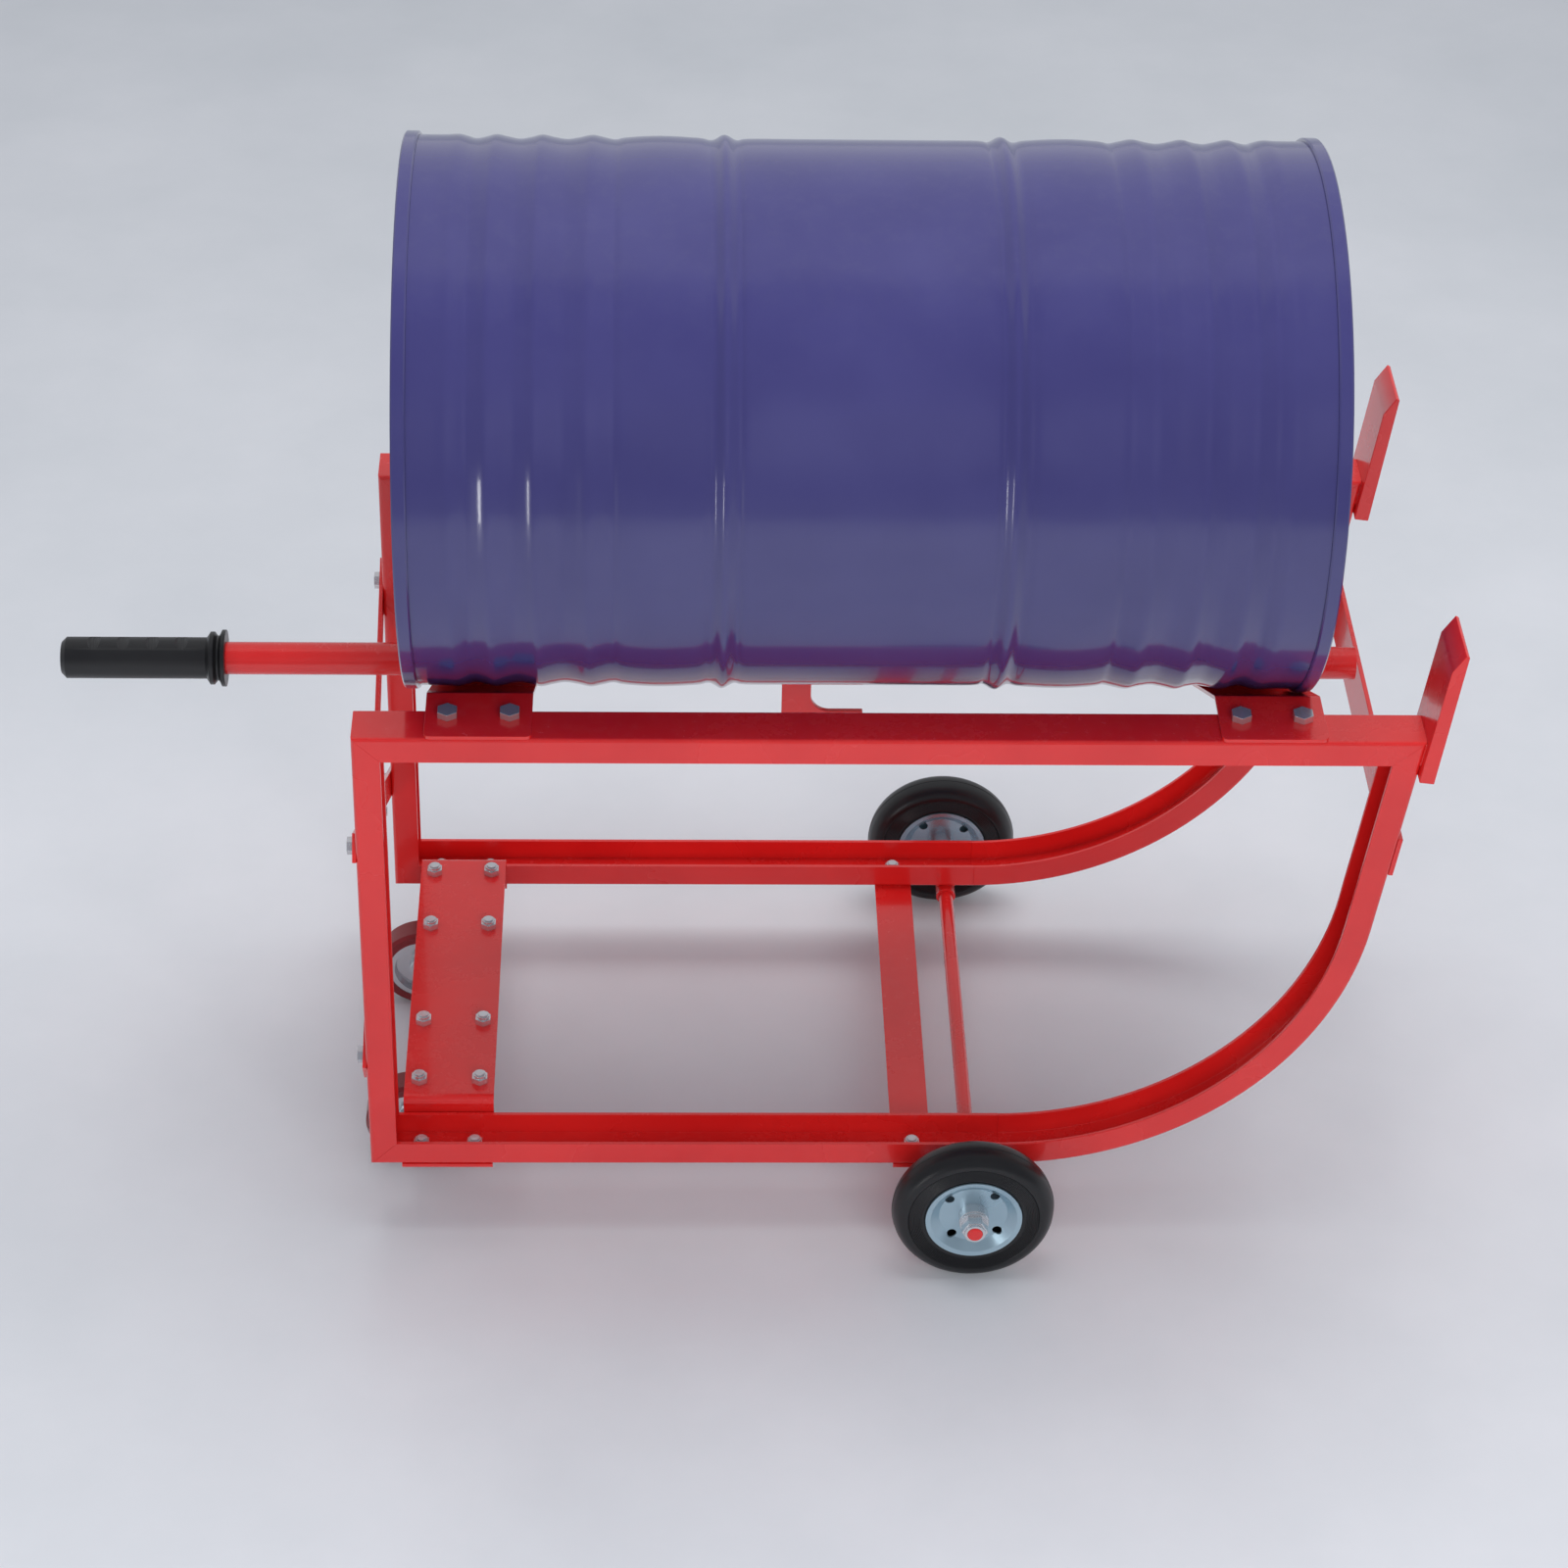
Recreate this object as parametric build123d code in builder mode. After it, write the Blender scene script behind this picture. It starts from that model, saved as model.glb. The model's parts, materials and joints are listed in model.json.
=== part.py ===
from build123d import *
import os
from math import atan2, cos, degrees, radians, sin, sqrt, tan

os.makedirs("parts", exist_ok=True)

# A steel drum lying on a wheeled tilting cradle. Millimetres, +Z up, +X towards the toe plates,
# -Y is the near side. The origin is on the floor, midway along the length and the width.

# Side frames: pressed channel, mitred and welded into one closed loop each
frame_width = 520.0
channel_width = 50.0
channel_depth = 28.0
channel_wall = 4.0
channel_corner = 4.0
frame_left = -382.0
frame_bottom = 96.0
frame_top = 650.0
bow_start = 279.0
bow_radius = 364.0
post_lean = radians(7.3)
frame_y = frame_width / 2 - channel_width / 2

# Toe plates: channels that continue the front posts' slope, each with a lip bent outwards
toe_width = 70.0
toe_bottom = 609.0
toe_bend = 742.0
toe_wall = 4.0
toe_flange = 15.0
toe_lip = 23.0
toe_lip_lean = radians(32)

# Drum and the two bent saddles that it lies on
sheet = 4.0
running_gap = 0.3
drum_x = 116.0
drum_length = 898.0
drum_radius = 276.0
drum_wall = 1.2
hoop_height = 4.5
rolled_half = 449.0
saddle_width = 105.0
rear_saddle_x = -258.5
front_saddle_x = 521.0
saddle_seat = 73.0
saddle_slope = radians(31)
saddle_bend = 6.0
saddle_bolt_pitch = 61.0
saddle_bolt_inset = 35.0

# Tilt lever: tube, moulded grip and hook plate
lever_radius = 17.0
lever_wall = 3.0
lever_left = -690.0
lever_right = 642.0
grip_left = -698.0
grip_right = -529.0
grip_radius = 21.5
grip_flange_radius = 29.5
hook_left = 46.0
hook_arm = 30.5
hook_length = 85.0
hook_depth = 73.0
hook_foot = 10.0
hook_plate = 6.0
hook_throat = 20.0

# Caster carrier, casters and the flat cross bar
carrier_x = -302.0
carrier_width = 95.0
carrier_rise = 44.0
carrier_bend = 7.0
caster_y = 129.5
caster_pitch_x = 64.0
caster_pitch_y = 96.0
rail_pitch = 56.0
caster_radius = 50.0
caster_trail = 44.0
caster_width = 32.0
tread_thickness = 11.0
cross_bar_x = 187.0
cross_bar_width = 41.0

# Fixed axle and main wheels
axle_x = 248.0
wheel_radius = 85.0
axle_radius = 8.0
sleeve_radius = 11.0
sleeve_inward = 30.0
sleeve_outward = 29.0
hub_length = 46.4
hub_radius = 15.5
disc_offset = 9.5
disc_radius = 36.0
washer = 2.0
nut_height = 12.0
collar_height = 3.0
tyre_width = 40.0
rim_radius = 50.5
fit_gap = 0.08

# Cross brace at the rear and tie bar at the front
brace_low = 226.0
brace_high = 500.0
brace_width = 30.0
tie_bottom = 484.0
tie_width = 46.0
tie_wall = 5.0

# Fasteners: thread diameter and across flats
m10, m10_flats = 10.0, 16.0
m12, m12_flats = 12.0, 19.0

# Places that follow from the sizes above
bow_z = frame_bottom + bow_radius
axle_z = frame_bottom - sleeve_radius
sleeve_inner = frame_y - sleeve_inward
sleeve_outer = frame_width / 2 + sleeve_outward
saddle_bolt_y = frame_width / 2 - saddle_bolt_inset
saddle_knee = frame_width / 2 - saddle_seat
saddle_top = frame_top + sheet
trough_z = saddle_top - saddle_knee * tan(saddle_slope)
lever_z = trough_z + (lever_radius + running_gap) / cos(saddle_slope)
drum_z = saddle_top + (drum_radius + running_gap - saddle_knee * sin(saddle_slope)) / cos(saddle_slope)
carrier_top = frame_bottom + carrier_rise
caster_x = carrier_x
brace_mid = (brace_low + brace_high) / 2
brace_angle = atan2(brace_high - brace_low, 2 * frame_y)
hub_inner = sleeve_outer + washer + running_gap
hub_outer = hub_inner + hub_length
wheel_y = (hub_inner + hub_outer) / 2
axle_end = hub_outer + running_gap + washer + nut_height + collar_height + 2


def save(body, name):
    body.label = name
    export_step(body, "parts/" + name + ".step")


# ---------------------------------------------------------------- side frames

def top_left(depth):
    return frame_left + depth, frame_top - depth


def bottom_left(depth):
    return frame_left + depth, frame_bottom + depth


def post_foot(depth):
    radius = bow_radius - depth
    return bow_start + radius * cos(post_lean), bow_z - radius * sin(post_lean)


def post_point(depth, height):
    x, z = post_foot(depth)
    return x + (height - z) * tan(post_lean), height


def top_right(depth):
    return post_point(depth, frame_top - depth)


def rail_end(depth):
    return bow_start, frame_bottom + depth


def band(start, end, depth):
    # Side view of a straight member between the loop's outer line and the given depth
    Polyline(start(0), end(0), end(depth), start(depth), close=True)


def straight_channel(start, end, on_outer_line, middle):
    with BuildPart() as member:
        with BuildSketch(Plane.XZ.offset(-middle)):
            with BuildLine():
                band(start, end, channel_wall)
            make_face()
        extrude(amount=channel_width / 2, both=True)
        for offset in (-1, 1):
            with BuildSketch(Plane.XZ.offset(-middle - offset * (channel_width - channel_wall) / 2)):
                with BuildLine():
                    band(start, end, channel_depth)
                make_face()
            extrude(amount=channel_wall / 2, both=True)
        edges = member.edges().filter_by(on_outer_line)
        fillet(edges.filter_by(lambda e: abs(abs(e.center().Y - middle) - channel_width / 2) < 0.01),
               channel_corner)
    return member


def drill(points, radius, length, turn=(0, 0, 0)):
    # Round holes through the open part, at points in space
    with Locations(*[Location(point, turn) for point in points]):
        Cylinder(radius, length, mode=Mode.SUBTRACT)


def make_bottom_rail(side, name):
    middle = side * frame_y
    rail = straight_channel(bottom_left, rail_end, lambda e: abs(e.center().Z - frame_bottom) < 0.01, middle)
    with BuildPart() as drilled:
        add(rail.part)
        holes = [(carrier_x - rail_pitch / 2, middle, frame_bottom),
                 (carrier_x + rail_pitch / 2, middle, frame_bottom),
                 (cross_bar_x, middle, frame_bottom)]
        drill(holes, m10 / 2 + fit_gap, 4 * channel_wall)
    save(drilled.part, name)


def make_rear_upright(side, name):
    middle = side * frame_y
    post = straight_channel(bottom_left, top_left, lambda e: abs(e.center().X - frame_left) < 0.01, middle)
    with BuildPart() as drilled:
        add(post.part)
        drill([(frame_left, middle, brace_low), (frame_left, middle, brace_high)],
              m10 / 2 + fit_gap, 4 * channel_wall, (0, 90, 0))
    save(drilled.part, name)


def make_top_rail(side, name):
    middle = side * frame_y
    rail = straight_channel(top_left, top_right, lambda e: abs(e.center().Z - frame_top) < 0.01, middle)
    with BuildPart() as drilled:
        add(rail.part)
        holes = [(x + end * saddle_bolt_pitch / 2, side * saddle_bolt_y, frame_top)
                 for x in (rear_saddle_x, front_saddle_x) for end in (-1, 1)]
        drill(holes, m12 / 2 + fit_gap, 4 * channel_wall)
    save(drilled.part, name)


def bow_outline(depth):
    # Side view of the bent front member: quarter bend, then the leaning post
    sweep_angle = 90 - degrees(post_lean)
    CenterArc((bow_start, bow_z), bow_radius, -90, sweep_angle)
    Line(post_foot(0), top_right(0))
    Line(top_right(0), top_right(depth))
    Line(top_right(depth), post_foot(depth))
    CenterArc((bow_start, bow_z), bow_radius - depth, -90, sweep_angle)
    Line(rail_end(depth), rail_end(0))


def make_front_bow(side, name):
    middle = side * frame_y
    with BuildPart() as bow:
        with BuildSketch(Plane.XZ.offset(-middle)):
            with BuildLine():
                bow_outline(channel_wall)
            make_face()
        extrude(amount=channel_width / 2, both=True)
        for offset in (-1, 1):
            with BuildSketch(Plane.XZ.offset(-middle - offset * (channel_width - channel_wall) / 2)):
                with BuildLine():
                    bow_outline(channel_depth)
                make_face()
            extrude(amount=channel_wall / 2, both=True)
        skin = bow.edges().filter_by(lambda e: abs(abs(e.center().Y - middle) - channel_width / 2) < 0.01)
        arcs = skin.filter_by(GeomType.CIRCLE).filter_by(lambda e: abs(e.radius - bow_radius) < 0.01)
        post = skin.filter_by(GeomType.LINE).filter_by(
            lambda e: abs(e.center().X - post_point(0, e.center().Z)[0]) < 0.01)
        fillet(arcs + post, channel_corner)
    save(bow.part, name)


def toe_point(height, outward):
    x, z = post_point(0, height)
    return x + outward * cos(post_lean), z - outward * sin(post_lean)


def make_toe_plate(side, name):
    middle = side * frame_y
    bend = toe_point(toe_bend, 0)
    tip = (bend[0] + toe_lip * sin(toe_lip_lean), bend[1] + toe_lip * cos(toe_lip_lean))
    lip_outer = (tip[0] + toe_wall * cos(toe_lip_lean), tip[1] - toe_wall * sin(toe_lip_lean))
    foot = toe_point(toe_bottom, 0)
    with BuildPart() as toe:
        with BuildSketch(Plane.XZ.offset(-middle)):
            with BuildLine():
                Polyline(foot, bend, tip, lip_outer, toe_point(toe_bend - toe_wall / 3, toe_wall),
                         toe_point(toe_bottom, toe_wall), close=True)
            make_face()
        extrude(amount=toe_width / 2, both=True)
        for offset in (-1, 1):
            with BuildSketch(Plane.XZ.offset(-middle - offset * (toe_width - toe_wall) / 2)):
                with BuildLine():
                    Polyline(foot, bend, tip, lip_outer, toe_point(toe_bottom, toe_flange), close=True)
                make_face()
            extrude(amount=toe_wall / 2, both=True)
    save(toe.part, name)


# ---------------------------------------------------------------- bent plates between the frames

def bent_strip(plane, corners, bend_radius, half_width):
    # Flat sheet bent along the given middle line, centred on the plane
    with BuildPart() as strip:
        with BuildSketch(plane):
            with BuildLine():
                if len(corners) > 2:
                    FilletPolyline(*corners, radius=bend_radius)
                else:
                    Line(*corners)
            trace(line_width=sheet)
        extrude(amount=half_width, both=True)
    return strip


def make_saddle(x, name):
    half = sheet / 2
    drop = half / cos(saddle_slope)
    knee = saddle_knee + half * tan(saddle_slope / 2)
    line = [(-frame_width / 2, frame_top + half), (-knee, frame_top + half), (0, trough_z - drop),
            (knee, frame_top + half), (frame_width / 2, frame_top + half)]
    strip = bent_strip(Plane.YZ.offset(x), line, saddle_bend, saddle_width / 2)
    with BuildPart() as saddle:
        add(strip.part)
        fillet(saddle.edges().filter_by(Axis.Z).filter_by(
            lambda e: abs(abs(e.center().Y) - frame_width / 2) < 0.01), 6)
        drill([(x + end * saddle_bolt_pitch / 2, y, frame_top) for end in (-1, 1)
               for y in (-saddle_bolt_y, saddle_bolt_y)], m12 / 2 + fit_gap, 4 * sheet)
    save(saddle.part, name)


def make_caster_carrier():
    half = sheet / 2
    wall = frame_width / 2 - channel_width - 5
    foot_z = frame_bottom - half
    line = [(-frame_width / 2, foot_z), (-wall, foot_z), (-wall, carrier_top - half),
            (wall, carrier_top - half), (wall, foot_z), (frame_width / 2, foot_z)]
    strip = bent_strip(Plane.YZ.offset(carrier_x), line, carrier_bend, carrier_width / 2)
    with BuildPart() as carrier:
        add(strip.part)
        drill(rail_bolt_points()[:4], m10 / 2 + fit_gap, 4 * sheet)
        drill([(x, y, carrier_top) for x, y in caster_bolt_points()], m10 / 2 + fit_gap, 4 * sheet)
    save(carrier.part, "caster_carrier")


def rail_bolt_points():
    carrier = [(carrier_x + end * rail_pitch / 2, side * frame_y, frame_bottom)
               for side in (-1, 1) for end in (-1, 1)]
    return carrier + [(cross_bar_x, side * frame_y, frame_bottom) for side in (-1, 1)]


def caster_bolt_points():
    return [(caster_x + end * caster_pitch_x / 2, side * caster_y + row * caster_pitch_y / 2)
            for side in (-1, 1) for row in (-1, 1) for end in (-1, 1)]


def make_cross_bar():
    with BuildPart() as bar:
        with Locations((cross_bar_x, 0, frame_bottom - sheet / 2)):
            Box(cross_bar_width, frame_width, sheet)
        drill(rail_bolt_points()[4:], m10 / 2 + fit_gap, 4 * sheet)
    save(bar.part, "cross_bar")


def make_tie_bar():
    with BuildPart() as bar:
        with BuildSketch(Plane.XZ):
            with BuildLine():
                low, high = tie_bottom, tie_bottom + tie_width * cos(post_lean)
                Polyline(toe_point(low, 0), toe_point(high, 0), toe_point(high, tie_wall),
                         toe_point(low, tie_wall), close=True)
            make_face()
        extrude(amount=frame_width / 2 - 2, both=True)
    save(bar.part, "front_tie_bar")


def brace_plane(direction):
    along = (0, cos(brace_angle), direction * sin(brace_angle))
    across = (0, -direction * sin(brace_angle), cos(brace_angle))
    return Plane(origin=(frame_left, 0, brace_mid), x_dir=along, z_dir=across)


def make_brace_bar(direction, middle_line, name):
    strip = bent_strip(brace_plane(direction), middle_line, 3, brace_width / 2)
    ends = [(frame_left, side * frame_y, brace_mid + side * direction * (brace_high - brace_low) / 2)
            for side in (-1, 1)]
    with BuildPart() as bar:
        add(strip.part)
        drill(ends + [(frame_left - sheet, 0, brace_mid)], m10 / 2 + fit_gap, 8 * sheet, (0, 90, 0))
    save(bar.part, name)


def make_brace():
    half = sheet / 2
    reach = frame_y / cos(brace_angle) + 20
    raised = half + sheet + 0.1
    make_brace_bar(1, [(-reach, half), (reach, half)], "brace_bar_straight")
    make_brace_bar(-1, [(-reach, half), (-70, half), (-45, raised), (45, raised), (70, half), (reach, half)],
                   "brace_bar_joggled")


# ---------------------------------------------------------------- fasteners

def fastener_group(name, plane, points, rounds=(), hexes=(), bore=None):
    # One solid at each point, stacked from round and hexagonal layers (size, start, height)
    with BuildPart() as group:
        for diameter, start, height in rounds:
            with BuildSketch(plane.offset(start)):
                with Locations(*points):
                    Circle(diameter / 2)
            extrude(amount=height)
        for flats, start, height in hexes:
            with BuildSketch(plane.offset(start)):
                with Locations(*points):
                    RegularPolygon(flats / sqrt(3), 6, rotation=30)
            extrude(amount=height)
        if bore:
            with BuildSketch(plane.offset(-60)):
                with Locations(*points):
                    Circle(bore / 2)
            extrude(amount=120, mode=Mode.SUBTRACT)
    save(group.part, name)


def make_rail_fasteners():
    points = [(x, y) for x, y, z in rail_bolt_points()]
    under = Plane.XY.offset(frame_bottom - sheet)
    grip = sheet + channel_wall
    fastener_group("rail_bolts", under, points, [(m10, 0, grip + 11.5)], [(m10_flats, -6.4, 6.4)])
    fastener_group("rail_nuts", under, points, [(13.5, grip + 7, 3)], [(m10_flats, grip, 7)], m10)


def make_caster_fasteners():
    base = Plane.XY.offset(carrier_top - 2 * sheet)
    grip = 2 * sheet
    fastener_group("caster_bolts", base, caster_bolt_points(), [(m10, 0, grip + 11.5)], [(m10_flats, -6.4, 6.4)])
    fastener_group("caster_nuts", base, caster_bolt_points(), [(13.5, grip + 7, 3)], [(m10_flats, grip, 7)], m10)


def make_saddle_fasteners():
    points = [(x + end * saddle_bolt_pitch / 2, side * saddle_bolt_y)
              for x in (rear_saddle_x, front_saddle_x) for side in (-1, 1) for end in (-1, 1)]
    top = Plane.XY.offset(saddle_top)
    grip = sheet + channel_wall
    fastener_group("saddle_bolts", top, points, [(m12, -grip - 12, grip + 12)], [(m12_flats, 0, 7.5)])
    fastener_group("saddle_nuts", top, points, (), [(m12_flats - 1, -grip - 10, 10)], m12)


def make_brace_fasteners():
    # Heads outside, nuts inside the uprights; the middle pair clamps the two bars
    plane = Plane(origin=(frame_left - sheet, 0, 0), x_dir=(0, 1, 0), z_dir=(1, 0, 0))
    ends = [(side * frame_y, z) for side in (-1, 1) for z in (brace_low, brace_high)]
    grip = sheet + channel_wall
    with BuildPart() as bolts:
        for points, head, shank in ((ends, -6.4, grip + 12), ([(0, brace_mid)], -6.4 - sheet - 0.1, grip + 12)):
            for size, start, height, sides in ((m10_flats, head, 6.4, 6), (m10, head + 6.4, shank, 0)):
                with BuildSketch(plane.offset(start)):
                    with Locations(*points):
                        if sides:
                            RegularPolygon(size / sqrt(3), sides)
                        else:
                            Circle(size / 2)
                extrude(amount=height)
    save(bolts.part, "brace_bolts")
    with BuildPart() as nuts:
        for points, start in ((ends, grip), ([(0, brace_mid)], sheet)):
            with BuildSketch(plane.offset(start)):
                with Locations(*points):
                    RegularPolygon(m10_flats / sqrt(3), 6)
                    Circle(m10 / 2, mode=Mode.SUBTRACT)
            extrude(amount=8)
    save(nuts.part, "brace_nuts")


# ---------------------------------------------------------------- axle and main wheels

def ring(profile_plane, inner, outer, start, end):
    with BuildSketch(profile_plane.offset(start)) as face:
        Circle(outer)
        if inner:
            Circle(inner, mode=Mode.SUBTRACT)
    extrude(face.sketch, amount=end - start)


def axle_plane(side):
    # Origin on the axle line in the middle plane, pointing outwards on the given side
    return Plane(origin=(axle_x, 0, axle_z), x_dir=(1, 0, 0), z_dir=(0, side, 0))


def make_axle():
    with BuildPart() as axle:
        with BuildSketch(Plane(origin=(axle_x, -axle_end, axle_z), x_dir=(1, 0, 0), z_dir=(0, 1, 0))):
            Circle(axle_radius)
        extrude(amount=2 * axle_end)
        chamfer(axle.edges().filter_by(GeomType.CIRCLE), 1.2)
    save(axle.part, "axle")
    with BuildPart() as sleeves:
        for side in (-1, 1):
            ring(axle_plane(side), axle_radius + fit_gap, sleeve_radius - 0.05, sleeve_inner, sleeve_outer)
    save(sleeves.part, "axle_sleeves")
    with BuildPart() as washers:
        for side in (-1, 1):
            ring(axle_plane(side), axle_radius + fit_gap, 15, sleeve_outer, sleeve_outer + washer)
            start = hub_outer + running_gap
            ring(axle_plane(side), axle_radius + fit_gap, 15, start, start + washer)
    save(washers.part, "axle_washers")
    with BuildPart() as nuts:
        start = hub_outer + running_gap + washer
        for side in (-1, 1):
            with BuildSketch(axle_plane(side).offset(start)):
                RegularPolygon(24 / sqrt(3), 6)
                Circle(axle_radius, mode=Mode.SUBTRACT)
            extrude(amount=nut_height)
            ring(axle_plane(side), axle_radius, 11, start + nut_height, start + nut_height + collar_height)
    save(nuts.part, "axle_lock_nuts")


def wheel_profile_plane(side):
    # Local x is the radius, pointing up; local y runs along the axle, outwards
    return Plane(origin=(axle_x, side * wheel_y, axle_z), x_dir=(0, 0, 1), z_dir=(side, 0, 0))


def make_tyre(side, name):
    half = tyre_width / 2
    bore = 47.6
    with BuildPart() as tyre:
        with BuildSketch(wheel_profile_plane(side)):
            with BuildLine():
                line = Polyline((bore, -half + 3), (bore, half - 3), (51.6, half - 3), (53.5, half - 1.2),
                                (58, half - 1.6), (66, half), (72, half))
                Spline((72, half), (80.5, half - 7), (wheel_radius, 2), tangents=((1, 0), (0.12, -1)))
                Line((wheel_radius, 2), (wheel_radius, -2))
                Spline((wheel_radius, -2), (80.5, 7 - half), (72, -half), tangents=((-0.12, -1), (-1, 0)))
                Polyline((72, -half), (66, -half), (58, 1.6 - half), (53.5, 1.2 - half), (51.6, 3 - half),
                         (bore, -half + 3))
            make_face()
        revolve(axis=Axis((axle_x, 0, axle_z), (0, 1, 0)))
    save(tyre.part, name)


def make_rim(side, name):
    # Two pressed discs, each with a seat for the tyre and a rolled lip
    with BuildPart() as rim:
        for face in (-1, 1):
            with BuildSketch(wheel_profile_plane(side)):
                with BuildLine():
                    FilletPolyline((hub_radius + 0.05, face * disc_offset), (disc_radius, face * disc_offset),
                                   (rim_radius - 5, face * (tyre_width / 2 - 2.4)),
                                   (rim_radius, face * (tyre_width / 2 - 1.8)), radius=1.2)
                trace(line_width=1.6)
            revolve(axis=Axis((axle_x, 0, axle_z), (0, 1, 0)))
        with BuildSketch(axle_plane(side).offset(wheel_y - 15)):
            with PolarLocations(33.5, 4, start_angle=50):
                Circle(5)
        extrude(amount=30, mode=Mode.SUBTRACT)
    save(rim.part, name)


def make_hub(side, name):
    with BuildPart() as hub:
        ring(axle_plane(side), axle_radius + fit_gap, hub_radius, hub_inner, hub_outer)
        chamfer(hub.edges().filter_by(GeomType.CIRCLE).filter_by(lambda e: abs(e.radius - hub_radius) < 0.01), 1)
    save(hub.part, name)


# ---------------------------------------------------------------- casters

plate_bottom = carrier_top - 2 * sheet
fork_top = plate_bottom - 5.7
fork_wall = 3.5
fork_gap = caster_width / 2 + 2.5
fork_width = 2 * (fork_gap + fork_wall)
kingpin_radius = 6.0
caster_axle_radius = 5.0


def make_caster_plate(side, name):
    y = side * caster_y
    with BuildPart() as plate:
        with BuildSketch(Plane.XY.offset(plate_bottom)):
            with Locations((caster_x, y)):
                RectangleRounded(88, 118, 8)
        extrude(amount=sheet)
        with BuildSketch(Plane.XY.offset(fork_top + running_gap)):
            with Locations((caster_x, y)):
                Circle(29)
                Circle(kingpin_radius, mode=Mode.SUBTRACT)
        extrude(amount=plate_bottom - fork_top - running_gap)
        drill([(px, py, plate_bottom) for px, py in caster_bolt_points()], m10 / 2 + fit_gap, 3 * sheet)
        drill([(caster_x, y, plate_bottom)], kingpin_radius, 3 * sheet)
    save(plate.part, name)


def make_kingpin(side, name):
    # Rivet with its head under the fork, closed over in the plate
    seat = fork_top - fork_wall - running_gap
    with BuildPart() as pin:
        with BuildSketch(Plane.XY.offset(seat)):
            with Locations((caster_x, side * caster_y)):
                Circle(kingpin_radius)
        extrude(amount=carrier_top - sheet - seat)
        with BuildSketch(Plane.XY.offset(seat)):
            with Locations((caster_x, side * caster_y)):
                Circle(11)
        extrude(amount=-3)
    save(pin.part, name)


def make_fork(side, name):
    y = side * caster_y
    with BuildPart() as fork:
        with BuildSketch(Plane.XY.offset(fork_top - fork_wall)):
            with Locations((caster_x, y)):
                Circle(27)
                Circle(kingpin_radius + fit_gap, mode=Mode.SUBTRACT)
                with Locations((-8, 0)):
                    Rectangle(50, fork_width)
                Circle(kingpin_radius + fit_gap, mode=Mode.SUBTRACT)
        extrude(amount=fork_wall)
        for cheek in (-1, 1):
            with BuildSketch(Plane.XZ.offset(-y - cheek * (fork_gap + fork_wall / 2))):
                with BuildLine():
                    Polyline((caster_x + 17, fork_top), (caster_x + 17, fork_top - 14),
                             (caster_x - caster_trail + 14, caster_radius - 4),
                             (caster_x - caster_trail + 6, caster_radius - 14),
                             (caster_x - caster_trail - 6, caster_radius - 14),
                             (caster_x - caster_trail - 14, caster_radius - 4),
                             (caster_x - caster_trail - 14, caster_radius + 6),
                             (caster_x - 33, fork_top - 14), (caster_x - 33, fork_top), close=True)
                make_face()
            extrude(amount=fork_wall / 2, both=True)
        drill([(caster_x - caster_trail, y, caster_radius)], caster_axle_radius, 2 * fork_width, (90, 0, 0))
    save(fork.part, name)


def caster_axis_plane(side):
    return Plane(origin=(caster_x - caster_trail, side * caster_y, caster_radius), x_dir=(1, 0, 0), z_dir=(0, 1, 0))


def make_caster_axle(side, name):
    # Hexagon bolt and lock nut through the fork's cheeks
    plane = caster_axis_plane(side)
    outer = fork_width / 2
    with BuildPart() as bolt:
        with BuildSketch(plane.offset(-outer)):
            Circle(caster_axle_radius)
        extrude(amount=2 * outer + 11)
        with BuildSketch(plane.offset(-outer - 6.4)):
            RegularPolygon(m10_flats / sqrt(3), 6)
        extrude(amount=6.4)
        with BuildSketch(plane.offset(outer)):
            RegularPolygon(m10_flats / sqrt(3), 6)
        extrude(amount=8)
    save(bolt.part, name)


def make_caster_wheel(side, core_name, tread_name):
    plane = Plane(origin=(caster_x - caster_trail, side * caster_y, caster_radius), x_dir=(0, 0, 1),
                  z_dir=(1, 0, 0))
    axis = Axis((caster_x - caster_trail, 0, caster_radius), (0, 1, 0))
    core = caster_radius - tread_thickness
    half = caster_width / 2
    with BuildPart() as hub:
        with BuildSketch(plane):
            with BuildLine():
                Polyline((caster_axle_radius + fit_gap, half), (13, half), (16, half - 2), (17, 7), (31, 7),
                         (33, half - 1), (core, half - 1), (core, 1 - half), (33, 1 - half), (31, -7),
                         (17, -7), (16, 2 - half), (13, -half), (caster_axle_radius + fit_gap, -half), close=True)
            make_face()
        revolve(axis=axis)
    save(hub.part, core_name)
    with BuildPart() as tread:
        with BuildSketch(plane):
            with BuildLine():
                Polyline((core, half), (caster_radius - 3, half), (caster_radius, half - 4),
                         (caster_radius, 4 - half), (caster_radius - 3, -half), (core, -half), close=True)
            make_face()
        revolve(axis=axis)
    save(tread.part, tread_name)


# ---------------------------------------------------------------- lever

def lever_plane(x):
    return Plane(origin=(x, 0, lever_z), x_dir=(0, 1, 0), z_dir=(1, 0, 0))


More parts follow.
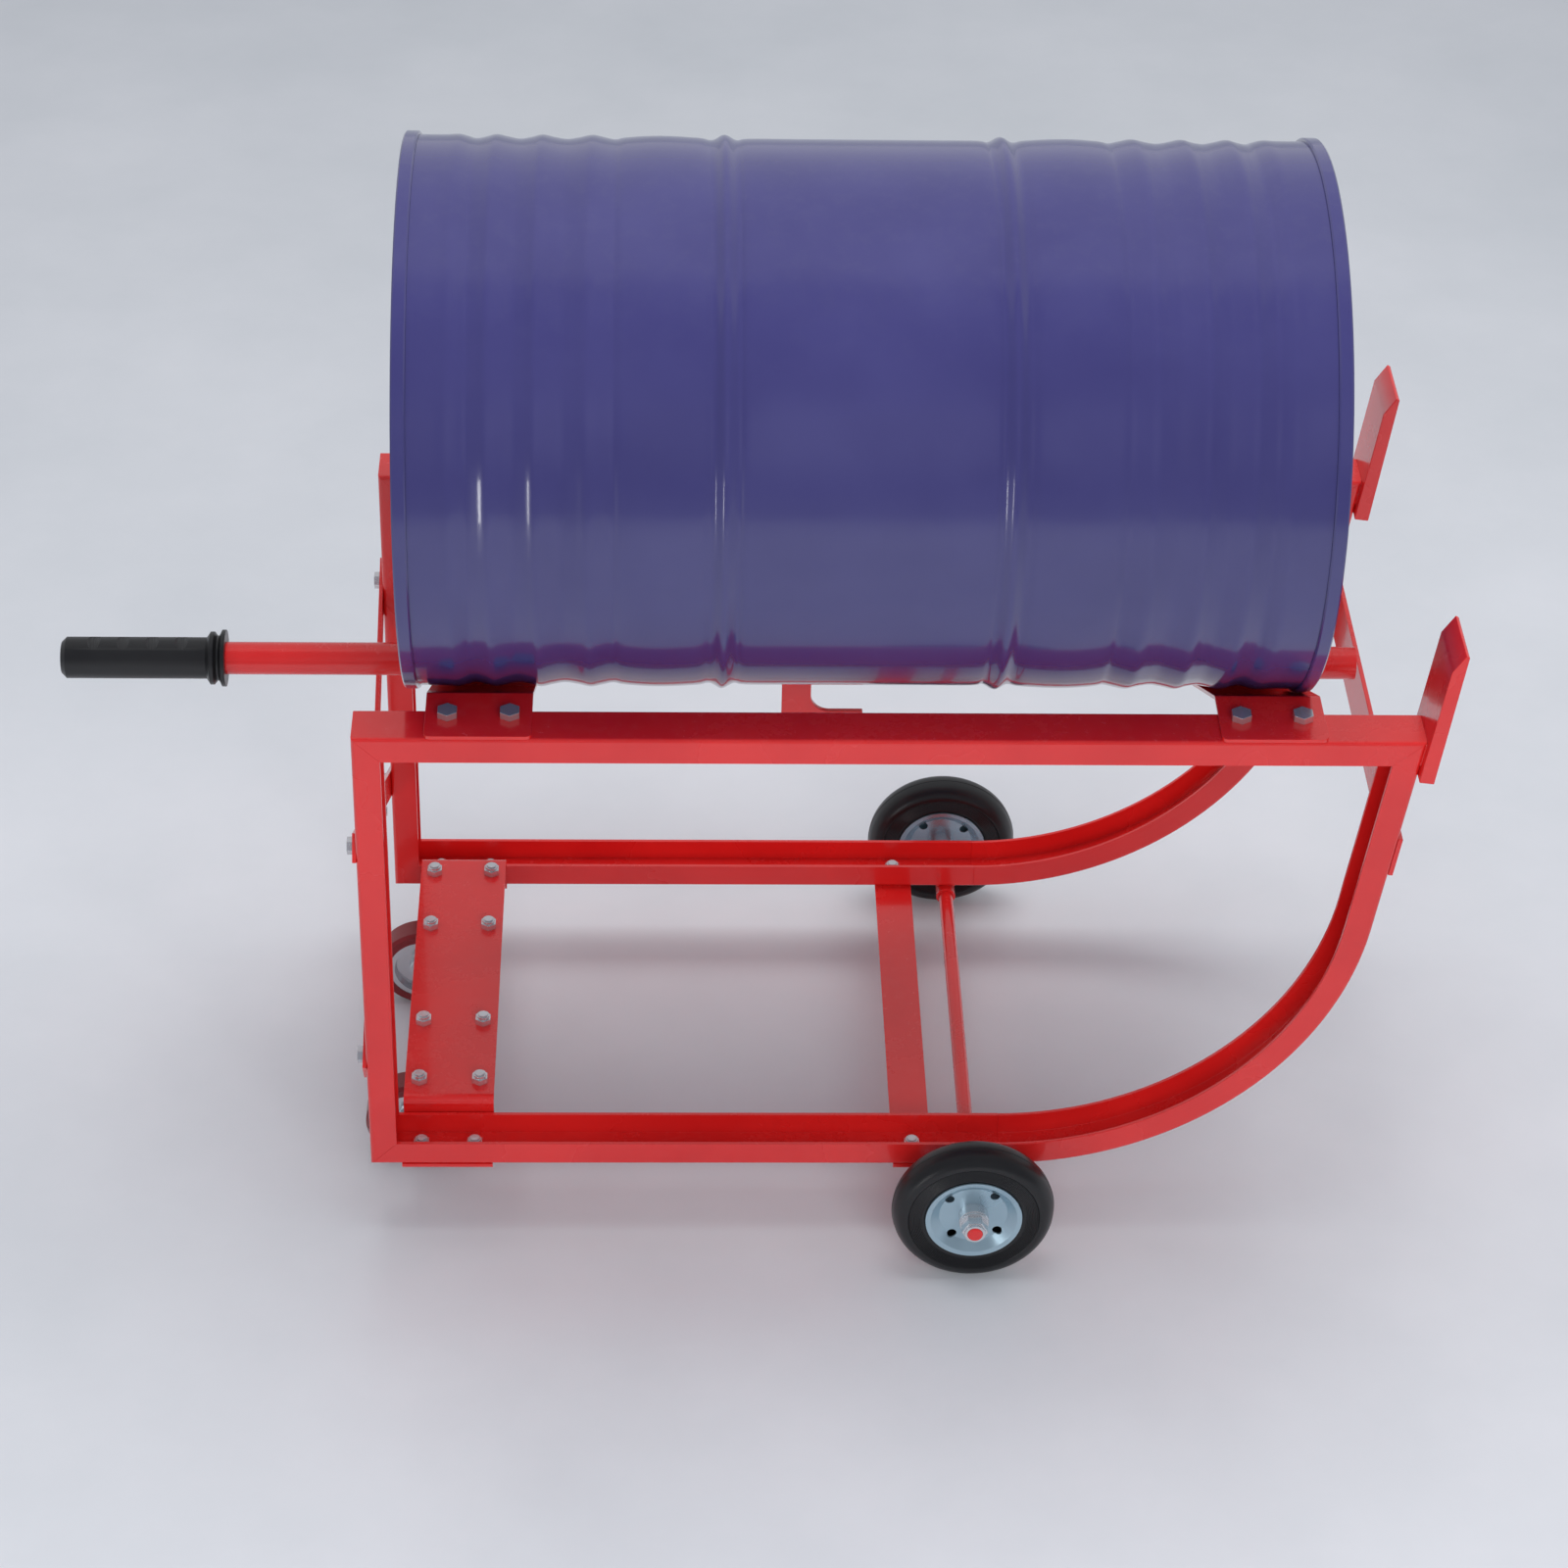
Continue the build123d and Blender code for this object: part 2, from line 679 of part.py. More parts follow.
def make_lever():
    with BuildPart() as tube:
        ring(lever_plane(0), lever_radius - lever_wall, lever_radius, lever_left, lever_right)
    save(tube.part, "lever_tube")
    profile = Plane(origin=(0, 0, lever_z), x_dir=(1, 0, 0), z_dir=(0, -1, 0))
    with BuildPart() as grip:
        with BuildSketch(profile):
            with BuildLine():
                Polyline((grip_left, 0), (grip_left, grip_radius - 5), (grip_left + 5, grip_radius),
                         (grip_right - 20, grip_radius), (grip_right - 16, grip_flange_radius - 2),
                         (grip_right - 12, grip_flange_radius - 2), (grip_right - 9, grip_radius + 2),
                         (grip_right - 7, grip_radius + 2), (grip_right - 4, grip_flange_radius),
                         (grip_right, grip_flange_radius), (grip_right, lever_radius + 0.05),
                         (lever_left, lever_radius + 0.05), (lever_left, 0), close=True)
            make_face()
        revolve(axis=Axis((0, 0, lever_z), (1, 0, 0)))
        # Finger notches across the top of the grip
        with BuildSketch(profile):
            with Locations(*[(grip_left + 34 + 30 * i, grip_radius + 4.5) for i in range(4)]):
                Circle(8)
        extrude(amount=grip_radius, both=True, mode=Mode.SUBTRACT)
    save(grip.part, "lever_grip")
    make_hook()


def make_hook():
    top = lever_z - lever_radius + 2
    low = lever_z - hook_depth
    right = hook_left + hook_arm
    with BuildPart() as hook:
        with BuildSketch(Plane(origin=(0, 0, 0), x_dir=(1, 0, 0), z_dir=(0, -1, 0))):
            with BuildLine():
                Polyline((hook_left, top), (hook_left, low), (hook_left + hook_length, low),
                         (hook_left + hook_length, low + hook_foot), (right + hook_throat, low + hook_foot))
                RadiusArc((right + hook_throat, low + hook_foot), (right, low + hook_foot + hook_throat), hook_throat)
                Polyline((right, low + hook_foot + hook_throat), (right, top), (hook_left, top))
            make_face()
        extrude(amount=hook_plate / 2, both=True)
        with Locations(Location(((hook_left + right) / 2, 0, lever_z), (0, 90, 0))):
            Cylinder(lever_radius, 2 * hook_length, mode=Mode.SUBTRACT)
    save(hook.part, "lever_hook")


# ---------------------------------------------------------------- drum

end_x = drum_length / 2
body_radius = drum_radius - hoop_height
head_inset = 18.0


def shell_points(inset):
    # Half of the drum wall's wavy line, from the middle hoop outwards (distance, radius)
    wave = [(0, -1), (60, -1), (112, -1), (124, -2.6), (136, 2.8), (148, -2.6), (162, -0.4), (200, 1.2), (232, -0.6),
            (243, -2.6), (254, -0.6), (266, 1.6), (278, -0.8), (291, -2.6), (303, -0.8), (315, 1.6), (325, -0.8),
            (337, -2.6), (348, -0.8), (360, 1.6), (370, -0.8), (380, -2.6), (388, -0.4), (397, 1.6), (410, 1)]
    stretch = end_x / rolled_half
    return [(x * stretch, body_radius + rise - inset) for x, rise in wave] + [
        (end_x - 14, body_radius + 1 - inset)]


def drum_axis():
    return Axis((drum_x, 0, drum_z), (1, 0, 0))


def drum_plane():
    return Plane(origin=(drum_x, 0, drum_z), x_dir=(1, 0, 0), z_dir=(0, -1, 0))


def make_drum_shell():
    half_outer, half_inner = shell_points(0), shell_points(drum_wall)
    outer = [(-x, r) for x, r in half_outer[:0:-1]] + half_outer
    inner = [(-x, r) for x, r in half_inner[:0:-1]] + half_inner
    with BuildPart() as shell:
        with BuildSketch(drum_plane()):
            with BuildLine():
                Spline(*outer, tangents=((1, 0), (1, 0)))
                Line(outer[-1], inner[-1])
                Spline(*inner, tangents=((1, 0), (1, 0)))
                Line(inner[0], outer[0])
            make_face()
        revolve(axis=drum_axis())
    save(shell.part, "drum_shell")


def make_drum_head(end, bungs, name):
    # Recessed panel, its skirt inside the shell and the rolled chime round both
    rim = end_x - 0.1
    panel = end_x - head_inset
    inside = body_radius + 1 - drum_wall
    with BuildPart() as head:
        with BuildSketch(drum_plane()):
            with BuildLine():
                Polyline((end * panel, 0), (end * panel, inside - 6), (end * (panel + 4), inside - 1.5),
                         (end * rim, inside - 1.5), (end * rim, drum_radius - 1.5),
                         (end * (rim - 1.5), drum_radius), (end * (end_x - 12.4), drum_radius),
                         (end * (end_x - 13.9), drum_radius - 1.5), (end * (end_x - 13.9), inside - 0.3),
                         (end * (panel + 3.4), inside - 0.3), (end * (panel - drum_wall), inside - 5.5),
                         (end * (panel - drum_wall), 0), close=True)
            make_face()
        revolve(axis=drum_axis())
        if bungs:
            for height, radius in ((large_bung_z, large_hole), (small_bung_z, small_hole)):
                with Locations(Location((drum_x + end * panel, 0, height), (0, 90, 0))):
                    Cylinder(radius + 3.1, 12, mode=Mode.SUBTRACT)
    save(head.part, name)


large_bung_z = drum_z + 188
small_bung_z = drum_z - 200
large_hole = 28.0
small_hole = 12.0


def bung_plane(height):
    return Plane(origin=(drum_x - end_x + head_inset, 0, height), x_dir=(0, 1, 0), z_dir=(-1, 0, 0))


def make_bungs():
    with BuildPart() as flanges:
        for height, hole in ((large_bung_z, large_hole), (small_bung_z, small_hole)):
            plane = bung_plane(height)
            ring(plane, hole + running_gap, hole + 3, -12, 3)
            ring(plane, hole + running_gap, hole + 7, -3.2, -1.25)
    save(flanges.part, "bung_flanges")
    for size, height, hole in (("large", large_bung_z, large_hole), ("small", small_bung_z, small_hole)):
        plane = bung_plane(height)
        with BuildPart() as gasket:
            ring(plane, hole + 0.4, hole + 3.4, 3.3, 4.9)
        save(gasket.part, "bung_gasket_" + size)
        with BuildPart() as plug:
            ring(plane, 0, hole, -9, 4.9)
            ring(plane, 0, hole + 4, 5.2, 9.5)
            ring(plane, 0, hole, 4.9, 5.2)
            with BuildSketch(plane.offset(9.5)):
                RegularPolygon(hole * 0.6, 8 if size == "large" else 4)
            extrude(amount=-7, mode=Mode.SUBTRACT)
        save(plug.part, "bung_plug_" + size)


# ---------------------------------------------------------------- everything, near side then far side

for side, where in ((-1, "near"), (1, "far")):
    make_bottom_rail(side, "bottom_rail_" + where)
    make_rear_upright(side, "rear_upright_" + where)
    make_top_rail(side, "top_rail_" + where)
    make_front_bow(side, "front_bow_" + where)
    make_toe_plate(side, "toe_plate_" + where)
    make_tyre(side, "wheel_tyre_" + where)
    make_rim(side, "wheel_rim_" + where)
    make_hub(side, "wheel_hub_" + where)
    make_caster_plate(side, "caster_plate_" + where)
    make_kingpin(side, "caster_kingpin_" + where)
    make_fork(side, "caster_fork_" + where)
    make_caster_axle(side, "caster_axle_" + where)
    make_caster_wheel(side, "caster_core_" + where, "caster_tread_" + where)

make_saddle(rear_saddle_x, "saddle_rear")
make_saddle(front_saddle_x, "saddle_front")
make_saddle_fasteners()
make_caster_carrier()
make_rail_fasteners()
make_caster_fasteners()
make_cross_bar()
make_tie_bar()
make_brace()
make_brace_fasteners()
make_axle()
make_lever()
make_drum_shell()
make_drum_head(-1, True, "drum_top_head")
make_drum_head(1, False, "drum_bottom_head")
make_bungs()
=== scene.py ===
import json
from math import cos, pi, radians, sin

import bmesh
import bpy
from mathutils import Matrix, Vector


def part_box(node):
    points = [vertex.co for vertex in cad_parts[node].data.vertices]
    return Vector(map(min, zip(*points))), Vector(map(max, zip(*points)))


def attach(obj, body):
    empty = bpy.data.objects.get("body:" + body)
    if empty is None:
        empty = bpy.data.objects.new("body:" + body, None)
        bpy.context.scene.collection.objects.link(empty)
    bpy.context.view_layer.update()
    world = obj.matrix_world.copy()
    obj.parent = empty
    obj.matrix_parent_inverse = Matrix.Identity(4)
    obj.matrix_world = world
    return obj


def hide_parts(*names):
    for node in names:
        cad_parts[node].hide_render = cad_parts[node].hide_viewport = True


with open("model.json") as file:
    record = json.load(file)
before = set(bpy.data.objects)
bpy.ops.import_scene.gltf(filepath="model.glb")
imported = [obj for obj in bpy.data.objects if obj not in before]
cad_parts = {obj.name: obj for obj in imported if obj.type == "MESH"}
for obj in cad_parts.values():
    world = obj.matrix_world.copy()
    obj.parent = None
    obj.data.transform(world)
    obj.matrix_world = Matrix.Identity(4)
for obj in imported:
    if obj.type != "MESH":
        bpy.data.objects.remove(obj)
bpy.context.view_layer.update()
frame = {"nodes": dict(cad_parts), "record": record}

# ---------------------------------------------------------------- camera
# A long lens above the near side, looking down on the drum and the cradle.
yaw, pitch, roll = radians(2.17), radians(35.53), radians(1.51)
sight = Vector((sin(yaw) * cos(pitch), cos(yaw) * cos(pitch), -sin(pitch)))
level = Vector((cos(yaw), -sin(yaw), 0))
overhead = level.cross(sight)
camera_right = level * cos(roll) + overhead * sin(roll)
camera_up = overhead * cos(roll) - level * sin(roll)
camera_turn = Matrix((camera_right, camera_up, -sight)).transposed()
camera_data = bpy.data.cameras.new("camera")
camera_data.sensor_width = 36
camera_data.lens = 94.5
camera_data.shift_y = -0.07
camera_data.clip_end = 100
camera = bpy.data.objects.new("camera", camera_data)
camera.matrix_world = Matrix.Translation((-0.0841, -3.4832, 3.0334)) @ camera_turn.to_4x4()
bpy.context.scene.collection.objects.link(camera)
bpy.context.scene.camera = camera

# ---------------------------------------------------------------- floor and light
# A pale smooth floor under soft boxes: one above, one at the front and one low on the left.
def new_material(name):
    material = bpy.data.materials.new(name)
    material.use_nodes = True
    tree = material.node_tree
    return material, tree, tree.nodes["Principled BSDF"]


def node(tree, kind, **values):
    made = tree.nodes.new(kind)
    for key, value in values.items():
        if key in made.inputs:
            made.inputs[key].default_value = value
        else:
            setattr(made, key, value)
    return made


def noise(tree, scale, detail=3.0, roughness=0.5, vector=None):
    made = node(tree, "ShaderNodeTexNoise", Scale=scale, Detail=detail, Roughness=roughness)
    if vector is None:
        vector = tree.nodes.new("ShaderNodeTexCoord").outputs["Object"]
    tree.links.new(vector, made.inputs["Vector"])
    return made


def ramp(tree, value, low, high, low_value=0.0, high_value=1.0):
    made = node(tree, "ShaderNodeMapRange")
    for key, number in (("From Min", low), ("From Max", high), ("To Min", low_value), ("To Max", high_value)):
        made.inputs[key].default_value = number
    tree.links.new(value, made.inputs["Value"])
    return made.outputs["Result"]


def blend_colour(tree, factor, first, second):
    made = node(tree, "ShaderNodeMix", data_type="RGBA")
    tree.links.new(factor, made.inputs["Factor"])
    for socket, colour in ((made.inputs[6], first), (made.inputs[7], second)):
        if isinstance(colour, tuple):
            socket.default_value = colour + (1.0,)
        else:
            tree.links.new(colour, socket)
    return made.outputs[2]


floor_paint, tree, shader = new_material("floor_screed")
cloud = noise(tree, 1.7, 6.0, 0.6)
cloudy = ramp(tree, cloud.outputs["Fac"], 0.3, 0.7)
tree.links.new(blend_colour(tree, cloudy, (0.70, 0.73, 0.77), (0.80, 0.82, 0.86)),
               shader.inputs["Base Color"])
tree.links.new(ramp(tree, noise(tree, 9.0).outputs["Fac"], 0.3, 0.7, 0.35, 0.5), shader.inputs["Roughness"])
bm = bmesh.new()
bmesh.ops.create_circle(bm, cap_ends=True, segments=96, radius=20)
mesh = bpy.data.meshes.new("floor")
bm.to_mesh(mesh)
mesh.materials.append(floor_paint)
floor = bpy.data.objects.new("floor", mesh)
bpy.context.scene.collection.objects.link(floor)

world = bpy.data.worlds.new("studio")
world.use_nodes = True
tree = world.node_tree
split = tree.nodes.new("ShaderNodeSeparateXYZ")
tree.links.new(tree.nodes.new("ShaderNodeTexCoord").outputs["Generated"], split.inputs[0])
far_side = ramp(tree, split.outputs["Y"], -0.10, 0.06)
tree.links.new(blend_colour(tree, far_side, (0.42, 0.44, 0.50), (0.86, 0.88, 0.92)),
               tree.nodes["Background"].inputs["Color"])
tree.nodes["Background"].inputs["Strength"].default_value = 0.62
bpy.context.scene.world = world
bpy.context.scene.view_settings.view_transform = "Standard"

soft_boxes = [
    ("box_above", (0.2, 0.4, 3.6), (0, 0, 0.5), 2.4, 2.4, 62),
    ("box_front", (0.6, -3.6, 2.4), (0.1, 0, 0.5), 2.6, 1.8, 62),
    ("box_left", (-1.9, -2.6, 0.5), (-0.1, 0, 0.7), 0.12, 0.9, 5),
]
for name, place, target, width, height, power in soft_boxes:
    data = bpy.data.lights.new(name, "AREA")
    data.shape = "RECTANGLE"
    data.size, data.size_y, data.energy = width, height, power
    light = bpy.data.objects.new(name, data)
    light.location = place
    light.visible_glossy = name == "box_left"
    light.rotation_mode = "QUATERNION"
    light.rotation_quaternion = (Vector(target) - Vector(place)).to_track_quat("-Z", "Y")
    bpy.context.scene.collection.objects.link(light)

# ---------------------------------------------------------------- red powder coat
# Baked gloss powder over pressed steel: a faint orange peel, a little dust on upward faces
# and paler thin spots. The same coat covers the frame, saddles, lever, axle and brace.
def make_surface_group():
    group = bpy.data.node_groups.new("worn_surface", "ShaderNodeTree")
    group.interface.new_socket(name="Grain", in_out="INPUT", socket_type="NodeSocketFloat")
    group.interface.new_socket(name="Dust", in_out="INPUT", socket_type="NodeSocketFloat")
    group.interface.new_socket(name="Height", in_out="OUTPUT", socket_type="NodeSocketFloat")
    group.interface.new_socket(name="Dust Mask", in_out="OUTPUT", socket_type="NodeSocketFloat")
    group.interface.new_socket(name="Cloud", in_out="OUTPUT", socket_type="NodeSocketFloat")
    entry = group.nodes.new("NodeGroupInput")
    leave = group.nodes.new("NodeGroupOutput")
    fine = noise(group, 600.0, 2.0)
    group.links.new(entry.outputs["Grain"], fine.inputs["Scale"])
    group.links.new(fine.outputs["Fac"], leave.inputs["Height"])
    wide = noise(group, 7.0, 4.0)
    group.links.new(wide.outputs["Fac"], leave.inputs["Cloud"])
    speck = noise(group, 60.0, 6.0, 0.7)
    split = group.nodes.new("ShaderNodeSeparateXYZ")
    group.links.new(group.nodes.new("ShaderNodeNewGeometry").outputs["Normal"], split.inputs[0])
    up = ramp(group, split.outputs["Z"], 0.55, 1.0)
    patch = ramp(group, speck.outputs["Fac"], 0.48, 0.72)
    both = node(group, "ShaderNodeMath", operation="MULTIPLY")
    group.links.new(up, both.inputs[0])
    group.links.new(patch, both.inputs[1])
    amount = node(group, "ShaderNodeMath", operation="MULTIPLY")
    group.links.new(both.outputs[0], amount.inputs[0])
    group.links.new(entry.outputs["Dust"], amount.inputs[1])
    group.links.new(amount.outputs[0], leave.inputs["Dust Mask"])
    return group


worn_surface = make_surface_group()


def coat(name, dark, light, dusty, grain, dust, smooth, rough, bump, metallic=0.0, clear=0.0):
    material, tree, shader = new_material(name)
    surface = node(tree, "ShaderNodeGroup", node_tree=worn_surface)
    surface.inputs["Grain"].default_value = grain
    surface.inputs["Dust"].default_value = dust
    tint = blend_colour(tree, ramp(tree, surface.outputs["Cloud"], 0.3, 0.7), dark, light)
    tree.links.new(blend_colour(tree, surface.outputs["Dust Mask"], tint, dusty), shader.inputs["Base Color"])
    uneven = ramp(tree, surface.outputs["Cloud"], 0.3, 0.7, smooth, rough)
    total = node(tree, "ShaderNodeMath", operation="ADD")
    tree.links.new(uneven, total.inputs[0])
    tree.links.new(ramp(tree, surface.outputs["Dust Mask"], 0, 1, 0, 0.3), total.inputs[1])
    tree.links.new(total.outputs[0], shader.inputs["Roughness"])
    relief = node(tree, "ShaderNodeBump", Strength=bump, Distance=0.0004)
    tree.links.new(surface.outputs["Height"], relief.inputs["Height"])
    tree.links.new(relief.outputs["Normal"], shader.inputs["Normal"])
    shader.inputs["Metallic"].default_value = metallic
    shader.inputs["Coat Weight"].default_value = clear
    shader.inputs["Coat Roughness"].default_value = 0.08
    return material


powder_red = coat("powder_red", (0.72, 0.012, 0.012), (0.84, 0.022, 0.020), (0.80, 0.10, 0.09),
                  900.0, 0.15, 0.22, 0.30, 0.08, clear=0.6)
zinc_plate = coat("zinc_plate", (0.62, 0.64, 0.67), (0.80, 0.82, 0.84), (0.5, 0.5, 0.5),
                  1400.0, 0.1, 0.16, 0.26, 0.08, metallic=0.8)
blue_zinc = coat("blue_zinc", (0.34, 0.50, 0.60), (0.52, 0.68, 0.76), (0.4, 0.4, 0.4),
                 700.0, 0.1, 0.22, 0.34, 0.10, metallic=0.75)
wheel_rubber = coat("wheel_rubber", (0.006, 0.006, 0.007), (0.011, 0.011, 0.012), (0.03, 0.03, 0.03),
                    800.0, 0.15, 0.28, 0.40, 0.15)
grip_vinyl = coat("grip_vinyl", (0.008, 0.008, 0.009), (0.014, 0.014, 0.015), (0.04, 0.04, 0.04),
                  1100.0, 0.2, 0.30, 0.42, 0.18)
tread_red = coat("tread_red", (0.19, 0.008, 0.012), (0.26, 0.012, 0.016), (0.25, 0.08, 0.08),
                 500.0, 0.3, 0.24, 0.34, 0.08)
seal_rubber = coat("seal_rubber", (0.012, 0.012, 0.012), (0.02, 0.02, 0.02), (0.05, 0.05, 0.05),
                   900.0, 0.1, 0.5, 0.6, 0.2)
drum_enamel = coat("drum_enamel", (0.040, 0.036, 0.165), (0.052, 0.048, 0.190), (0.10, 0.10, 0.20),
                   240.0, 0.12, 0.16, 0.24, 0.05, clear=0.6)

finishes = {"red_paint": powder_red, "drum_paint": drum_enamel, "zinc": zinc_plate,
            "tyre_rubber": wheel_rubber, "tread_plastic": tread_red, "grip_plastic": grip_vinyl, "gasket_rubber": seal_rubber}
slot_of = {entry["node"]: entry["material_slot"] for entry in frame["record"]["subparts"]}
for name, item in frame["nodes"].items():
    item.data.materials.clear()
    item.data.materials.append(finishes[slot_of[name]])

# ---------------------------------------------------------------- pressed steel members
# Channels, straps, saddles and brackets: sheared and bent plate. The coat rounds every cut
# edge a little, so each member gets a small rounding along its sharp edges.
def finish_piece(name, bm, body, materials, replaced=(), sharp=38):
    mesh = bpy.data.meshes.new(name)
    bm.to_mesh(mesh)
    bm.free()
    for material in materials:
        mesh.materials.append(material)
    mesh.polygons.foreach_set("use_smooth", [True] * len(mesh.polygons))
    mesh.set_sharp_from_angle(angle=radians(sharp))
    piece = bpy.data.objects.new(name, mesh)
    bpy.context.scene.collection.objects.link(piece)
    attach(piece, body)
    if replaced:
        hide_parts(*replaced)
    return piece


def softened(name, body, rounding, material, steps=2):
    bm = bmesh.new()
    bm.from_mesh(frame["nodes"][name].data)
    bmesh.ops.remove_doubles(bm, verts=bm.verts, dist=0.00002)
    bmesh.ops.dissolve_limit(bm, angle_limit=radians(0.6), verts=bm.verts, edges=bm.edges,
                             use_dissolve_boundaries=False)
    cut = [e for e in bm.edges if len(e.link_faces) == 2 and e.calc_face_angle() > radians(42)]
    bmesh.ops.bevel(bm, geom=cut, offset=rounding, offset_type="OFFSET", segments=steps, profile=0.5,
                    affect="EDGES", clamp_overlap=True, material=-1)
    piece = finish_piece(name + "_finished", bm, body, [material], (name,))
    even = piece.modifiers.new("even_shading", "WEIGHTED_NORMAL")
    even.keep_sharp = True
    return piece


pressed = {"bottom_rail": 0.0006, "rear_upright": 0.0006, "top_rail": 0.0006, "front_bow": 0.0006,
           "toe_plate": 0.0008}
for name, rounding in pressed.items():
    for side in ("near", "far"):
        softened(name + "_" + side, "cradle", rounding, powder_red)
for name in ("saddle_rear", "saddle_front", "caster_carrier", "cross_bar", "front_tie_bar",
             "brace_bar_straight", "brace_bar_joggled"):
    softened(name, "cradle", 0.0007, powder_red)
softened("lever_hook", "lever", 0.0008, powder_red)
for side in ("near", "far"):
    softened("caster_fork_" + side, "caster_swivel_" + side, 0.0007, zinc_plate)
    softened("caster_plate_" + side, "cradle", 0.0006, zinc_plate)

# ---------------------------------------------------------------- drum
# A rolled sheet shell with hoops and beads, and two recessed heads seamed on under rolled
# chimes. Only the shell is turned anew here; the heads keep the shape that they were given.
def lathe(outline, origin, axis, steps):
    # A closed outline of (distance along the axis, radius), turned once round it
    along = Vector(axis)
    out = Vector((0, 0, 1))
    bm = bmesh.new()
    verts = [bm.verts.new(Vector(origin) + along * x + out * max(r, 0)) for x, r in outline]
    edges = [bm.edges.new((a, b)) for a, b in zip(verts, verts[1:] + verts[:1])]
    bmesh.ops.spin(bm, geom=verts + edges, cent=origin, axis=along, angle=2 * pi, steps=steps, use_merge=True)
    bmesh.ops.remove_doubles(bm, verts=bm.verts, dist=0.000004)
    bmesh.ops.dissolve_degenerate(bm, dist=0.000004, edges=bm.edges)
    bmesh.ops.recalc_face_normals(bm, faces=bm.faces)
    return bm


def curved(points, steps):
    # A smooth line through the points, with the given number of steps in each span
    line = []
    for i in range(len(points) - 1):
        p0, p1 = points[max(i - 1, 0)], points[i]
        p2, p3 = points[i + 1], points[min(i + 2, len(points) - 1)]
        for k in range(steps):
            t = k / steps
            line.append(tuple(0.5 * (2 * b + (c - a) * t + (2 * a - 5 * b + 4 * c - d) * t * t
                                     + (3 * b - a - 3 * c + d) * t ** 3)
                              for a, b, c, d in zip(p0, p1, p2, p3)))
    return line + [points[-1]]


low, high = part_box("drum_shell")
ends_low, ends_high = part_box("drum_top_head")
drum_middle = (low[0] + high[0]) / 2
drum_height = (low[2] + high[2]) / 2
chime_radius = (ends_high[2] - ends_low[2]) / 2
hoop_height, wall = 0.0045, 0.0012
wave = [(0, -1), (60, -1), (112, -1), (124, -2.6), (136, 2.8), (148, -2.6), (162, -0.4), (200, 1.2),
        (232, -0.6), (243, -2.6), (254, -0.6), (266, 1.6), (278, -0.8), (291, -2.6), (303, -0.8), (315, 1.6),
        (325, -0.8), (337, -2.6), (348, -0.8), (360, 1.6), (370, -0.8), (380, -2.6), (388, -0.4),
        (397, 1.6), (410, 1), (435, 1)]
half = [(x / 1000, chime_radius - hoop_height + rise / 1000) for x, rise in wave]
outer = curved([(-x, r) for x, r in half[:0:-1]] + half, 5)
inner = [(x, r - wall) for x, r in reversed(outer)]
finish_piece("drum_shell_rolled", lathe(outer + inner, (drum_middle, 0, drum_height), (1, 0, 0), 160), "drum",
             [drum_enamel], ("drum_shell",), 50)

# ---------------------------------------------------------------- bolts, nuts, axle, rims and grip
# Bright zinc hexagons, turned steel, pressed rims and a moulded vinyl grip on the lever.
# Forging, turning and moulding leave every corner slightly rounded.
for name in ("saddle_bolts", "saddle_nuts", "rail_bolts", "rail_nuts", "caster_bolts", "caster_nuts",
             "brace_bolts", "brace_nuts", "axle_washers", "axle_lock_nuts"):
    softened(name, "cradle", 0.0004, zinc_plate)
for name in ("axle", "axle_sleeves"):
    softened(name, "cradle", 0.0003, powder_red, 1)
softened("lever_grip", "lever", 0.0012, grip_vinyl)
for side in ("near", "far"):
    softened("caster_axle_" + side, "caster_swivel_" + side, 0.0004, zinc_plate)
    softened("wheel_rim_" + side, "main_wheel_" + side, 0.0003, blue_zinc, 1)

